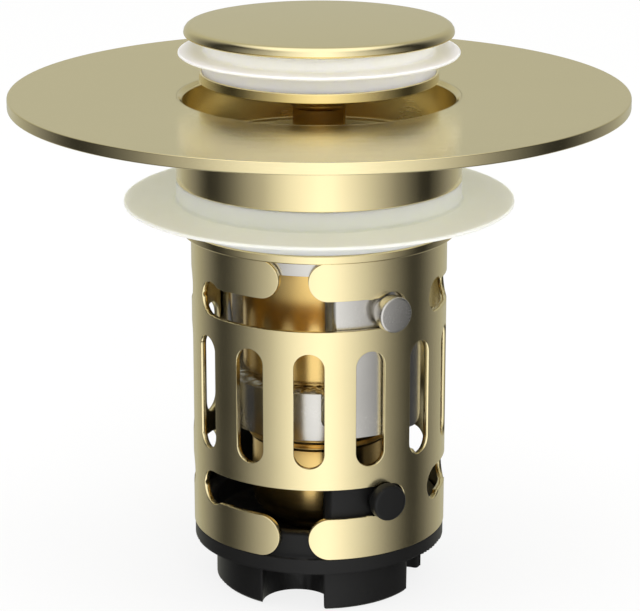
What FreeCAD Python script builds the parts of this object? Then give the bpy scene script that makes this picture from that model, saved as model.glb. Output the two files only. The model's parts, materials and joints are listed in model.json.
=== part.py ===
"""A drop-in pop-up basin waste with a strainer basket, in millimetres.

It stands on the four grips of its end cap, with +Z up and the origin on its axis at the bottom.
From the top: a press-to-open plug, a cover plate on a neck, a body seal, a bracket that carries the
press mechanism, and a slotted basket that hangs on the bracket's pins and is closed by an end cap.
An azimuth is measured about +Z from the front, which is -Y, towards +X.
"""
import FreeCAD, Part
import math
import os

import Sketcher
from FreeCAD import Placement, Rotation, Vector

os.makedirs("parts", exist_ok=True)

# Driving dimensions, each in a cell of its own

DIMENSIONS = {
    # End cap
    "grip_height": 6.25,
    "grip_radius": 13.8,
    "grip_draft": 0.15,
    "grip_round": 0.7,
    "grip_count": 4,
    "scallop_radius": 4.5,
    "scallop_centre": 11.3,
    "cap_ring_radius": 16.65,
    "cap_ring_height": 1.95,
    "cap_floor": 2.0,
    "drain_radius": 5.8,
    "cap_wall": 2.0,
    "cap_collar_height": 2.9,
    "cap_leg_height": 11.25,
    "cap_azimuth": 29.9,
    "leg_width": 12.8,
    # Strainer basket
    "basket_radius": 16.75,
    "basket_wall": 0.8,
    "basket_length": 39.65,
    "slot_count": 13,
    "slot_width": 4.0,
    "slot_length": 15.4,
    "slot_shift": 0.225,
    "slot_azimuth": -4.5,
    "track_height": 4.05,
    "upper_tongue_height": 5.0,
    "lower_tongue_height": 5.45,
    "throat_width": 3.95,
    "throat_azimuth": -11.3,
    "track_angle": 44.8,
    "seat_radius": 2.3,
    "seat_shift": 0.3,
    "detent_radius": 1.2,
    "detent_height": 0.1,
    "detent_offset": 3.0,
    "window_azimuth": 79.1,
    "window_angle": 27.8,
    # Headed pins
    "pin_radius": 1.7,
    "pin_head_radius": 2.35,
    "pin_head_thickness": 1.5,
    "pin_head_gap": 0.25,
    "pin_edge": 0.25,
    # Neck and cover plate
    "lip_radius": 17.95,
    "lip_height": 1.15,
    "seal_groove_radius": 17.0,
    "neck_radius": 18.58,
    "neck_wall": 0.93,
    "neck_height": 9.95,
    "neck_step_height": 2.0,
    "plate_radius": 40.0,
    "plate_thickness": 1.5,
    "plate_edge": 0.2,
    "plate_dish": 0.5,
    "plate_land": 0.22,
    "plate_seat_depth": 0.3,
    "mouth_chamfer": 0.55,
    # Body seal
    "soft_edge": 0.42,
    "seal_height": 5.75,
    "seal_flange_radius": 25.4,
    "seal_flange_thickness": 0.5,
    "seal_flange_drop": 2.55,
    # Bracket
    "bracket_radius": 15.8,
    "bracket_thickness": 2.45,
    "bracket_ring_height": 8.0,
    "bracket_ring_drop": 2.1,
    "bracket_azimuth": 31.9,
    "leg_corner": 1.6,
    "leg_foot": 1.3,
    "bracket_edge": 0.3,
    "hub_radius": 12.5,
    "hub_height": 6.3,
    "hub_drop": 25.05,
    # Press core
    "washer_step": 0.87,
    "washer_thickness": 0.55,
    "housing_radius": 10.07,
    "housing_wall": 1.2,
    "housing_height": 27.5,
    "housing_round_share": 0.13,
    "housing_top": 2.5,
    "tail_step": 3.07,
    "tail_wall": 1.0,
    "tail_grip": 2.65,
    "nut_step": 0.17,
    "nut_height": 2.75,
    "nut_groove": 0.35,
    "barrel_step": 1.0,
    "barrel_clearance": 1.4,
    "barrel_floor": 2.45,
    "barrel_round": 2.6,
    "screw_radius": 4.0,
    "screw_head_radius": 5.3,
    "screw_head_height": 2.6,
    "screw_length": 4.0,
    "screw_slot_width": 1.2,
    "screw_slot_depth": 1.0,
    "spring_seat_height": 1.5,
    "wire_radius": 0.45,
    "coil_step": 1.2,
    "coil_count": 9.0,
    "bush_radius": 6.0,
    "bush_flange_radius": 7.2,
    "bush_flange_height": 1.7,
    "bush_length": 5.2,
    "ring_wire": 0.8,
    "cam_sleeve_height": 13.5,
    "cam_sleeve_wall": 1.6,
    "cam_slot_count": 8,
    "cam_slot_width": 2.2,
    "cam_slot_depth": 0.8,
    "cam_slot_length": 8.0,
    # Plug
    "plug_lift": 1.4,
    "retainer_radius": 15.45,
    "retainer_height": 1.35,
    "retainer_floor": 0.8,
    "retainer_rim": 0.4,
    "plug_collar_height": 2.7,
    "plug_flange_radius": 18.12,
    "plug_flange_thickness": 0.4,
    "plug_neck_radius": 14.73,
    "plug_neck_height": 2.1,
    "cap_radius": 17.36,
    "cap_edge_height": 1.3,
    "cap_dome": 0.2,
    "cap_top_round": 0.95,
    "cap_bottom_round": 0.3,
    "cap_boss_radius": 5.0,
    "cap_boss_bore_depth": 4.9,
    "stud_radius": 2.5,
    "stud_engagement": 8.0,
    "stem_nut_radius": 3.9,
    "stem_nut_height": 3.45,
    "stem_nut_round": 0.9,
    "plunger_radius": 3.4,
    "plunger_length": 18.0,
    "ratchet_gap": 0.84,
    "ratchet_height": 2.5,
    "ratchet_teeth": 8,
    "tooth_height": 0.8,
    "rotor_height": 5.5,
    "rotor_gap": 1.04,
    "spigot_radius": 2.2,
    "clip_radius": 3.7,
    "clip_thickness": 0.6,
    "clip_bite": 0.35,
    # Clearances
    "turning_gap": 0.15,
    "running_gap": 0.05,
    "slip_gap": 0.03,
    "overshoot": 1.0,
}


class Size:
    """A number and the same sum written with the names of the sheet's cells."""

    def __init__(self, number, text):
        self.number = float(number)
        self.text = text

    def __add__(self, other):
        other = as_size(other)
        return Size(self.number + other.number, f"({self.text} + {other.text})")

    def __sub__(self, other):
        other = as_size(other)
        return Size(self.number - other.number, f"({self.text} - {other.text})")

    def __mul__(self, other):
        other = as_size(other)
        return Size(self.number * other.number, f"({self.text} * {other.text})")

    def __truediv__(self, other):
        other = as_size(other)
        return Size(self.number / other.number, f"({self.text} / {other.text})")

    def __neg__(self):
        return Size(-self.number, f"(-{self.text})")


def as_size(value):
    return value if isinstance(value, Size) else Size(value, repr(float(value)))


doc = FreeCAD.newDocument("pop_up_basin_waste")
sheet = doc.addObject("Spreadsheet::Sheet", "Sizes")


class Named:
    """The cells of the sheet, read as attributes."""


d = Named()
for row, (alias, number) in enumerate(DIMENSIONS.items(), start=1):
    sheet.set(f"A{row}", alias)
    sheet.set(f"B{row}", str(number))
    sheet.setAlias(f"B{row}", alias)
    setattr(d, alias, Size(number, f"Sizes.{alias}"))
doc.recompute()

ZERO = Size(0.0, "0.0")
sub_parts = []


# How the sub-parts are drawn


def bind(obj, **properties):
    """Gives each property its size as an expression, so that it follows the sheet."""
    for name, size in properties.items():
        obj.setExpression(name, as_size(size).text)


def turned(azimuth, height=0.0, radius=0.0):
    """A placement that far out and up, whose X axis points outwards at an azimuth."""
    angle = azimuth - 90.0
    out = Vector(math.cos(math.radians(angle)), math.sin(math.radians(angle)), 0)
    return Placement(out * radius + Vector(0, 0, height), Rotation(Vector(0, 0, 1), angle))


def origin_feature(body, role):
    return next(f for f in body.Origin.OriginFeatures if f.Role == role)


def new_sketch(body, name, plane="XZ_Plane", level=None):
    sketch = body.newObject("Sketcher::SketchObject", name)
    sketch.AttachmentSupport = [(origin_feature(body, plane), "")]
    sketch.MapMode = "FlatFace"
    if level is not None:
        sketch.setExpression("AttachmentOffset.Base.z", level.text)
    return sketch


def dimension(sketch, kind, curve, end, size):
    """Dimensions one end of a curve from the sketch's origin."""
    index = sketch.addConstraint(Sketcher.Constraint(kind, -1, 1, curve, end, size.number))
    sketch.setExpression(f"Constraints[{index}]", size.text)


def pin_point(sketch, curve, end, x, y):
    dimension(sketch, "DistanceX", curve, end, x)
    dimension(sketch, "DistanceY", curve, end, y)


def outline(sketch, corners):
    """A closed outline through (radius, height) corners, each dimensioned from the origin.

    A third value is the radius of an arc that bulges outwards on its way to the next corner of an
    outline that runs anticlockwise.
    """
    corners = [tuple(as_size(c) for c in corner) for corner in corners]
    curves = []
    for here, there in zip(corners, corners[1:] + corners[:1]):
        a = Vector(here[0].number, here[1].number, 0)
        b = Vector(there[0].number, there[1].number, 0)
        if len(here) == 2:
            curve = sketch.addGeometry(Part.LineSegment(a, b))
        else:
            chord = b - a
            rise = math.sqrt(here[2].number ** 2 - (chord.Length / 2) ** 2)
            centre = (a + b) / 2 + Vector(-chord.y, chord.x, 0).normalize() * rise
            circle = Part.Circle(centre, Vector(0, 0, 1), here[2].number)
            start, end = circle.parameter(a), circle.parameter(b)
            curve = sketch.addGeometry(Part.ArcOfCircle(circle, start, end))
            index = sketch.addConstraint(Sketcher.Constraint("Radius", curve, here[2].number))
            sketch.setExpression(f"Constraints[{index}]", here[2].text)
        curves.append(curve)
    for curve, (after, corner) in zip(curves, zip(curves[1:] + curves[:1], corners[1:] + corners[:1])):
        sketch.addConstraint(Sketcher.Constraint("Coincident", curve, 2, after, 1))
        pin_point(sketch, after, 1, corner[0], corner[1])
    return sketch


def round_slot(sketch, width, low, high):
    """An upright slot with round ends, centred on the sketch's vertical axis."""
    half = width / 2
    arc_heights = (low + half, high - half)
    sides = []
    for x in (half, -half):
        ends = [Vector(x.number, y.number, 0) for y in arc_heights]
        line = sketch.addGeometry(Part.LineSegment(*ends))
        for end, y in enumerate(arc_heights, start=1):
            pin_point(sketch, line, end, x, y)
        sides.append(line)
    right, left = sides
    for end, y, start in ((1, arc_heights[0], math.pi), (2, arc_heights[1], 0.0)):
        circle = Part.Circle(Vector(0, y.number, 0), Vector(0, 0, 1), half.number)
        arc = sketch.addGeometry(Part.ArcOfCircle(circle, start, start + math.pi))
        first, last = (left, right) if end == 1 else (right, left)
        sketch.addConstraint(Sketcher.Constraint("Coincident", arc, 1, first, end))
        sketch.addConstraint(Sketcher.Constraint("Coincident", arc, 2, last, end))
        dimension(sketch, "DistanceY", arc, 3, y)
    return sketch


def turned_body(name, corners):
    """A body revolved about the vertical axis from one outline."""
    body = doc.addObject("PartDesign::Body", name)
    sketch = outline(new_sketch(body, name + "_outline"), corners)
    turn = body.newObject("PartDesign::Revolution", name + "_turn")
    turn.Profile = sketch
    turn.ReferenceAxis = (sketch, ["V_Axis"])
    turn.Angle = 360.0
    doc.recompute()
    return body


def ring_edges(shape, radius, height):
    """Names of the circular edges of one radius at one height."""
    names = []
    for index, edge in enumerate(shape.Edges, start=1):
        if edge.Degenerated or not isinstance(edge.Curve, Part.Circle):
            continue
        circle = edge.Curve
        if abs(circle.Radius - radius.number) < 1e-4 and abs(circle.Center.z - height.number) < 1e-4:
            names.append(f"Edge{index}")
    return names


def rounded(body, size, *rings, kind="Fillet"):
    """Rounds, or chamfers, the edges that lie on the given (radius, height) rings."""
    base = body.Tip
    names = []
    for radius, height in rings:
        names += ring_edges(base.Shape, as_size(radius), as_size(height))
    feature = body.newObject("PartDesign::" + kind, f"{body.Name}_{kind.lower()}")
    feature.Base = (base, names)
    bind(feature, **{"Radius" if kind == "Fillet" else "Size": size})
    doc.recompute()
    return body


def cut_through(body, sketch, name, length, reverse):
    before = body.Tip.Shape.Volume
    pocket = body.newObject("PartDesign::Pocket", name)
    pocket.Profile = sketch
    pocket.Type = 0
    pocket.Reversed = reverse
    bind(pocket, Length=length)
    doc.recompute()
    if not pocket.Shape.Volume < before:
        raise RuntimeError(f"{name} cuts nothing")
    return pocket


def patterned(body, feature, name, count, axis="Z_Axis"):
    pattern = body.newObject("PartDesign::PolarPattern", name)
    pattern.Originals = [feature]
    pattern.Axis = (origin_feature(body, axis), [""])
    pattern.Angle = 360.0
    bind(pattern, Occurrences=count)
    body.Tip = pattern
    doc.recompute()
    return pattern


def finished(obj, label):
    obj.Label = label
    sub_parts.append(obj)
    return obj


def cylinder(name, radius, height, level=ZERO):
    obj = doc.addObject("Part::Cylinder", name)
    bind(obj, Radius=radius, Height=height)
    obj.setExpression("Placement.Base.z", level.text)
    return obj


def joined(kind, name, shapes):
    """A Part boolean of several shapes, or of a base and one tool for a cut."""
    obj = doc.addObject("Part::" + kind, name)
    if kind == "Cut":
        obj.Base, obj.Tool = shapes
    else:
        obj.Shapes = shapes
    obj.Refine = True
    doc.recompute()
    return obj


def tube(name, outer, inner, height, level):
    return joined("Cut", name, (
        cylinder(name + "_outside", outer, height, level),
        cylinder(name + "_inside", inner, height, level),
    ))


def bar_across(name, width, height, level, azimuth):
    """A bar through the axis, wide enough to reach both sides, whose length lies at an azimuth."""
    reach = d.plate_radius
    bar = doc.addObject("Part::Box", name)
    bind(bar, Length=reach * 2, Width=width, Height=height)
    turn = turned(azimuth, level.number)
    bar.Placement = turn * Placement(Vector(-reach.number, -width.number / 2, 0), Rotation())
    return bar


def wall_sector(name, height, level, azimuth, angle):
    """A sector of a ring that reaches through the basket's wall, centred on an azimuth."""
    sector = doc.addObject("Part::Cylinder", name + "_sector")
    bind(sector, Radius=cut_outside, Height=height, Angle=angle)
    sector.Placement = turned(azimuth.number - angle.number / 2, level.number)
    core = cylinder(name + "_core", cut_inside, height, level)
    return joined("Cut", name, (sector, core))


def spoke(name, radius, start, end, level, azimuth):
    """A round bar that points outwards at an azimuth, from one radius to another."""
    bar = doc.addObject("Part::Cylinder", name)
    bind(bar, Radius=radius, Height=end - start)
    bar.Placement = turned(azimuth.number, level.number, start.number) * Placement(
        Vector(), Rotation(Vector(0, 1, 0), 90))
    return bar


# Levels, from the floor up

cap_ring_level = d.grip_height
basket_bottom = cap_ring_level + d.cap_ring_height + d.turning_gap
basket_top = basket_bottom + d.basket_length
lip_level = basket_top + d.turning_gap
seal_level = lip_level + d.lip_height
neck_level = seal_level + d.seal_height
plate_level = neck_level + d.neck_height
plate_top = plate_level + d.plate_thickness
plate_mouth = plate_top - d.plate_dish
ring_level = lip_level - d.bracket_ring_drop
hub_level = lip_level - d.hub_drop
hub_top = hub_level + d.hub_height
housing_level = hub_top + d.washer_thickness
housing_top = housing_level + d.housing_height
nut_level = hub_level - d.nut_height
barrel_level = cap_ring_level + d.cap_ring_height + d.barrel_clearance
screw_level = barrel_level - d.screw_head_height
retainer_level = plate_top + d.plug_lift
retainer_top = retainer_level + d.retainer_floor
flange_level = retainer_top + d.plug_collar_height + d.running_gap
flange_top = flange_level + d.plug_flange_thickness
cap_level = flange_top + d.plug_neck_height
cap_edge_top = cap_level + d.cap_edge_height
stem_nut_level = retainer_level - d.stem_nut_height
ratchet_level = stem_nut_level - d.plunger_length
rotor_level = ratchet_level - d.turning_gap - d.rotor_height
screw_top = barrel_level + d.screw_length

basket_bore = d.basket_radius - d.basket_wall
cut_inside = basket_bore - d.basket_wall
cut_outside = d.basket_radius + d.basket_wall
bracket_bore = d.bracket_radius - d.bracket_thickness
neck_bore = d.neck_radius - d.neck_wall
low_bore = d.bracket_radius + d.slip_gap
cap_collar_radius = basket_bore - d.turning_gap
cap_bore = cap_collar_radius - d.cap_wall
upper_track = basket_top - d.upper_tongue_height - d.track_height
lower_track = basket_bottom + d.lower_tongue_height
pin_level = upper_track + d.track_height / 2
cap_pin_level = lower_track + d.track_height / 2
tail_radius = d.housing_radius - d.tail_step
tail_bore = tail_radius - d.tail_wall
coil_radius = tail_bore - d.coil_step

# Cover plate: a disc, dished towards its mouth, pressed on to the neck's spigot down to its shoulder

spigot_radius = d.neck_radius - d.plate_land
plate_seat = plate_level + d.plate_seat_depth
plate = turned_body("plate", [
    (spigot_radius + d.slip_gap, plate_seat),
    (d.neck_radius + d.slip_gap, plate_seat),
    (d.neck_radius + d.slip_gap, plate_level),
    (d.plate_radius, plate_level),
    (d.plate_radius, plate_top),
    (spigot_radius + d.slip_gap, plate_mouth),
])
finished(rounded(plate, d.plate_edge, (d.plate_radius, plate_level), (d.plate_radius, plate_top)),
         "cover_plate")

# Neck: the throat of the waste, with a groove for the body seal and a lip below it

neck = turned_body("neck", [
    (low_bore, lip_level),
    (d.lip_radius, lip_level),
    (d.lip_radius, seal_level),
    (d.seal_groove_radius, seal_level),
    (d.seal_groove_radius, neck_level),
    (d.neck_radius, neck_level),
    (d.neck_radius, plate_seat),
    (spigot_radius, plate_seat),
    (spigot_radius, plate_mouth),
    (neck_bore, plate_mouth),
    (neck_bore, neck_level + d.neck_step_height * 2),
    (low_bore, neck_level + d.neck_step_height),
])
rounded(neck, d.mouth_chamfer, (neck_bore, plate_mouth), kind="Chamfer")
finished(rounded(neck, d.neck_wall / 4, (d.lip_radius, lip_level), (d.lip_radius, seal_level)),
         "neck_sleeve")

# Body seal: a soft collar stretched over the groove, with a wide thin flange

seal_bore = d.seal_groove_radius + d.slip_gap
seal_top = neck_level - d.slip_gap
seal_bottom = seal_level + d.slip_gap
seal_flange_top = neck_level - d.seal_flange_drop
seal_flange_bottom = seal_flange_top - d.seal_flange_thickness
body_seal = turned_body("body_seal_ring", [
    (seal_bore, seal_bottom),
    (d.lip_radius + d.slip_gap, seal_bottom),
    (d.neck_radius + d.seal_flange_thickness, seal_flange_bottom),
    (d.seal_flange_radius, seal_flange_bottom),
    (d.seal_flange_radius, seal_flange_top),
    (d.neck_radius, seal_flange_top),
    (d.neck_radius, seal_top),
    (seal_bore, seal_top),
])
rounded(body_seal, d.seal_flange_thickness * d.soft_edge,
        (d.seal_flange_radius, seal_flange_bottom), (d.seal_flange_radius, seal_flange_top))
finished(rounded(body_seal, d.seal_flange_thickness / 2, (d.neck_radius, seal_flange_top)),
         "body_seal")

# Bracket: a ring in the neck, two legs, and a hub that holds the press core

ring = tube("bracket_ring", d.bracket_radius, bracket_bore, d.bracket_ring_height, ring_level)
leg_bottom = hub_level + d.leg_foot
leg_height = ring_level + d.bracket_edge * 2 - leg_bottom
leg_tube = tube("leg_tube", d.bracket_radius, bracket_bore, leg_height, leg_bottom)
foot_tube = tube("foot_tube", d.bracket_radius, d.hub_radius - d.bracket_edge,
                 hub_top - leg_bottom, leg_bottom)
leg_bar = bar_across("leg_bar", d.leg_width, leg_height, leg_bottom, d.bracket_azimuth.number)
doc.recompute()


def bottom_corners(bar, level):
    """The two long bottom edges of a bar, as (edge, radius, radius) for a Part fillet."""
    picked = []
    for index, edge in enumerate(bar.Shape.Edges, start=1):
        low = all(abs(v.Point.z - level.number) < 1e-4 for v in edge.Vertexes)
        if low and edge.Length > d.plate_radius.number:
            picked.append((index, d.leg_corner.number, d.leg_corner.number))
    return picked


rounded_bar = doc.addObject("Part::Fillet", "rounded_leg_bar")
rounded_bar.Base = leg_bar
rounded_bar.Edges = bottom_corners(leg_bar, leg_bottom)
legs = joined("MultiCommon", "bracket_legs",
              [rounded_bar, joined("MultiFuse", "leg_and_foot", [leg_tube, foot_tube])])
hub = tube("bracket_hub", d.hub_radius, tail_radius + d.slip_gap, d.hub_height, hub_level)
bracket_block = joined("MultiFuse", "bracket_block", [ring, legs, hub])
pin_holes = joined("MultiFuse", "pin_holes", [
    spoke("pin_hole_front", d.pin_radius + d.slip_gap, d.hub_radius, d.basket_radius,
          pin_level, d.bracket_azimuth),
    spoke("pin_hole_back", d.pin_radius + d.slip_gap, d.hub_radius, d.basket_radius,
          pin_level, d.bracket_azimuth + 180.0),
])
finished(joined("Cut", "bracket_drilled", (bracket_block, pin_holes)), "bracket")


# Headed pins, pressed into the bracket's legs and into the end cap's legs


def headed_pin(name, level, azimuth, root):
    """A pin along the radius, from its root to a flat head clear of the basket."""
    head_inside = d.basket_radius + d.pin_head_gap
    pin = turned_body(name, [
        (ZERO, root),
        (d.pin_radius, root),
        (d.pin_radius, head_inside),
        (d.pin_head_radius, head_inside),
        (d.pin_head_radius, head_inside + d.pin_head_thickness),
        (ZERO, head_inside + d.pin_head_thickness),
    ])
    rounded(pin, d.pin_edge, (d.pin_head_radius, head_inside + d.pin_head_thickness))
    pin.Placement = turned(azimuth.number, level.number) * Placement(
        Vector(), Rotation(Vector(0, 1, 0), 90))
    return pin


def pin_pair(label, level, azimuth, root):
    pair = doc.addObject("Part::Compound", label + "_pair")
    pair.Links = [headed_pin(label + "_front", level, azimuth, root),
                  headed_pin(label + "_back", level, azimuth + 180.0, root)]
    doc.recompute()
    return finished(pair, label)


pin_pair("bracket_pins", pin_level, d.bracket_azimuth, bracket_bore + d.slip_gap)

# Strainer basket: a tube with upright slots, and bayonet tracks at both ends

basket_tube = turned_body("basket_tube", [
    (basket_bore, basket_bottom),
    (d.basket_radius, basket_bottom),
    (d.basket_radius, basket_top),
    (basket_bore, basket_top),
])
slot_low = basket_bottom + (d.basket_length - d.slot_length) / 2 + d.slot_shift
slot_sketch = round_slot(new_sketch(basket_tube, "slot_outline"), d.slot_width,
                         slot_low, slot_low + d.slot_length)
slot = cut_through(basket_tube, slot_sketch, "upright_slot", cut_outside, True)
patterned(basket_tube, slot, "upright_slots", d.slot_count)
basket_tube.Placement = Placement(Vector(), Rotation(Vector(0, 0, 1), d.slot_azimuth.number))

DEGREES = 180.0 / math.pi


def arc_angle(length):
    """The angle that a length takes on the basket's outside."""
    return length / d.basket_radius * DEGREES


def wall_hole(name, radius, level, azimuth):
    return spoke(name, radius, cut_inside, cut_outside, level, azimuth)


def track_end(name, level, azimuth, up):
    """The round seat at a track's end, shifted towards the basket's open edge."""
    return wall_hole(name, d.seat_radius, level + d.track_height / 2 + d.seat_shift * up, azimuth)


def detent(name, level, azimuth, up):
    """The small ridge that stops a pin from leaving its seat by itself."""
    edge = level + d.track_height / 2 + (d.track_height / 2) * up
    return wall_hole(name, d.detent_radius, edge + (d.detent_radius - d.detent_height) * up, azimuth)


def bayonet_track(name, level, edge, azimuth, up, tongue_height):
    """A track with a seat at each end and a throat through the basket's edge between two tongues."""
    tongue_radius = tongue_height / 2
    tongue_angle = arc_angle(d.throat_width / 2 + tongue_radius)
    tongue_level = edge - tongue_radius * up
    low = tongue_level - tongue_radius - d.overshoot if up > 0 else edge - d.overshoot
    high = edge + d.overshoot if up > 0 else tongue_level + tongue_radius + d.overshoot
    throat = wall_sector(name + "_gap", high - low, low, azimuth, tongue_angle * 2)
    for side in (-1, 1):
        tongue = wall_hole(f"{name}_tongue_{side}", tongue_radius, tongue_level,
                           azimuth + tongue_angle * side)
        throat = joined("Cut", f"{name}_throat_{side}", (throat, tongue))
    path = wall_sector(name + "_path", d.track_height, level, azimuth, d.track_angle * 2)
    for side in (-1, 1):
        ridge = detent(f"{name}_ridge_{side}", level,
                       azimuth + (d.track_angle - arc_angle(d.detent_offset)) * side, up)
        path = joined("Cut", f"{name}_ridged_{side}", (path, ridge))
    seats = [track_end(f"{name}_seat_{side}", level, azimuth + d.track_angle * side, up)
             for side in (-1, 1)]
    return joined("MultiFuse", name, [throat, path] + seats)


def window(name, level, azimuth, up):
    """A short closed track with a seat shape at each end."""
    half = d.window_angle / 2
    path = wall_sector(name + "_path", d.track_height, level, azimuth, d.window_angle)
    seats = [track_end(f"{name}_seat_{side}", level, azimuth + half * side, up) for side in (-1, 1)]
    return joined("MultiFuse", name, [path] + seats)


basket = basket_tube
for side_name, turn in (("front", 0.0), ("back", 180.0)):
    for end_name, level, edge, up, tongue_height in (
            ("upper", upper_track, basket_top, 1, d.upper_tongue_height),
            ("lower", lower_track, basket_bottom, -1, d.lower_tongue_height)):
        name = f"{end_name}_{side_name}"
        track = bayonet_track(name + "_track", level, edge, d.throat_azimuth + turn, up,
                              tongue_height)
        basket = joined("Cut", f"basket_{name}_track", (basket, track))
        short_track = window(name + "_window", level, d.window_azimuth + turn, up)
        basket = joined("Cut", f"basket_{name}_window", (basket, short_track))
finished(basket, "strainer_basket")

# End cap: a ring under the basket, a collar and two legs inside it, and four grips below

cap_floor_level = cap_ring_level + d.cap_ring_height - d.cap_floor
cap_collar_top = basket_bottom + d.cap_collar_height
cap_leg_top = basket_bottom + d.cap_leg_height
grip_foot = d.grip_radius - d.grip_draft
cap_base = turned_body("end_cap_base", [
    (d.drain_radius, ZERO),
    (grip_foot, ZERO),
    (d.grip_radius, d.grip_height),
    (d.cap_ring_radius, d.grip_height),
    (d.cap_ring_radius, basket_bottom - d.turning_gap),
    (cap_collar_radius, basket_bottom - d.turning_gap),
    (cap_collar_radius, cap_collar_top),
    (cap_bore, cap_collar_top),
    (cap_bore, cap_floor_level + d.cap_floor),
    (d.drain_radius, cap_floor_level + d.cap_floor),
])
rounded(cap_base, d.grip_round, (grip_foot, ZERO))
rounded(cap_base, d.pin_edge, (d.cap_ring_radius, d.grip_height))
scallop_sketch = new_sketch(cap_base, "scallop_outline", "XY_Plane")
scallop_circle = Part.Circle(Vector(d.scallop_centre.number, 0, 0), Vector(0, 0, 1),
                             d.scallop_radius.number)
scallop_curve = scallop_sketch.addGeometry(scallop_circle)
pin_point(scallop_sketch, scallop_curve, 3, d.scallop_centre, ZERO)
radius_index = scallop_sketch.addConstraint(
    Sketcher.Constraint("Radius", scallop_curve, d.scallop_radius.number))
scallop_sketch.setExpression(f"Constraints[{radius_index}]", d.scallop_radius.text)
scallop = cut_through(cap_base, scallop_sketch, "scallop", d.grip_height, True)
patterned(cap_base, scallop, "scallops", d.grip_count)
cap_base.Placement = turned(d.cap_azimuth.number - 180.0 / d.grip_count.number)

cap_leg_tube = tube("cap_leg_tube", cap_collar_radius, cap_bore, cap_leg_top - cap_ring_level,
                    cap_ring_level)
cap_leg_bar = bar_across("cap_leg_bar", d.leg_width, cap_leg_top - cap_ring_level, cap_ring_level,
                         d.cap_azimuth.number)
cap_legs = joined("MultiCommon", "cap_legs", [cap_leg_tube, cap_leg_bar])
cap_block = joined("MultiFuse", "cap_block", [cap_base, cap_legs])
cap_pin_holes = joined("MultiFuse", "cap_pin_holes", [
    spoke("cap_hole_front", d.pin_radius + d.slip_gap, cap_bore - d.overshoot, d.basket_radius,
          cap_pin_level, d.cap_azimuth),
    spoke("cap_hole_back", d.pin_radius + d.slip_gap, cap_bore - d.overshoot, d.basket_radius,
          cap_pin_level, d.cap_azimuth + 180.0),
])
finished(joined("Cut", "cap_drilled", (cap_block, cap_pin_holes)), "end_cap")
pin_pair("end_cap_pins", cap_pin_level, d.cap_azimuth, cap_bore + d.slip_gap)

# Core housing: a bell on the hub, with a threaded tail through it

tail_bottom = nut_level - d.tail_grip
housing_round = (d.housing_radius - tail_radius) * d.housing_round_share
washer_radius = d.housing_radius - d.washer_step
housing_bore = d.housing_radius - d.housing_wall
housing_floor = housing_level + d.housing_wall
housing = turned_body("housing", [
    (tail_bore, tail_bottom),
    (tail_radius, tail_bottom),
    (tail_radius, housing_level),
    (d.housing_radius, housing_level),
    (d.housing_radius, housing_top),
    (d.bush_radius + d.slip_gap, housing_top),
    (d.bush_radius + d.slip_gap, housing_top - d.housing_top),
    (housing_bore, housing_top - d.housing_top),
    (housing_bore, housing_floor + d.housing_wall),
    (housing_bore - d.housing_wall, housing_floor),
    (tail_bore, housing_floor),
])
rounded(housing, housing_round, (d.housing_radius, housing_level))
finished(rounded(housing, d.housing_wall / 2, (d.housing_radius, housing_top)), "core_housing")

# Washer between the housing and the hub

finished(turned_body("housing_washer_ring", [
    (tail_radius + d.slip_gap, hub_top),
    (washer_radius, hub_top),
    (washer_radius, housing_level),
    (tail_radius + d.slip_gap, housing_level),
]), "housing_washer")

# Lock nut below the hub, with two turned grooves

nut_radius = d.housing_radius - d.nut_step
nut_fifth = d.nut_height / 5
finished(turned_body("lock_nut_ring", [
    (tail_radius + d.slip_gap, nut_level),
    (nut_radius - d.nut_groove * 2, nut_level),
    (nut_radius - d.nut_groove, nut_level + nut_fifth),
    (nut_radius - d.nut_groove * 2, nut_level + nut_fifth * 1.5),
    (nut_radius - d.nut_groove, nut_level + nut_fifth * 2),
    (nut_radius, nut_level + nut_fifth * 3),
    (nut_radius - d.nut_groove, nut_level + nut_fifth * 3.5),
    (nut_radius, nut_level + nut_fifth * 4),
    (nut_radius, hub_level),
    (tail_radius + d.slip_gap, hub_level),
]), "lock_nut")

# Lower barrel: a cup screwed on to the housing's tail, with a rounded bottom

barrel_bore = tail_radius + d.slip_gap
barrel_radius = nut_radius - d.barrel_step
barrel = turned_body("barrel", [
    (d.screw_radius + d.slip_gap, barrel_level),
    (barrel_radius, barrel_level),
    (barrel_radius, nut_level),
    (barrel_bore, nut_level),
    (barrel_bore, barrel_level + d.barrel_floor + d.barrel_round / 2),
    (barrel_bore - d.barrel_round / 2, barrel_level + d.barrel_floor),
    (d.screw_radius + d.slip_gap, barrel_level + d.barrel_floor),
])
finished(rounded(barrel, d.barrel_round, (barrel_radius, barrel_level)), "lower_barrel")

# Adjusting screw in the barrel's floor, slotted across its head

screw = turned_body("screw", [
    (ZERO, screw_level),
    (d.screw_head_radius, screw_level),
    (d.screw_head_radius, barrel_level),
    (d.screw_radius, barrel_level),
    (d.screw_radius, screw_top),
    (ZERO, screw_top),
])
rounded(screw, d.pin_edge, (d.screw_head_radius, screw_level))
screw_sketch = outline(new_sketch(screw, "screw_slot_outline", "XY_Plane", screw_level), [
    (-d.screw_head_radius - d.overshoot, -d.screw_slot_width / 2),
    (d.screw_head_radius + d.overshoot, -d.screw_slot_width / 2),
    (d.screw_head_radius + d.overshoot, d.screw_slot_width / 2),
    (-d.screw_head_radius - d.overshoot, d.screw_slot_width / 2),
])
cut_through(screw, screw_sketch, "screw_slot", d.screw_slot_depth, True)
finished(screw, "adjusting_screw")

# Spring seat on the adjusting screw

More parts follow.
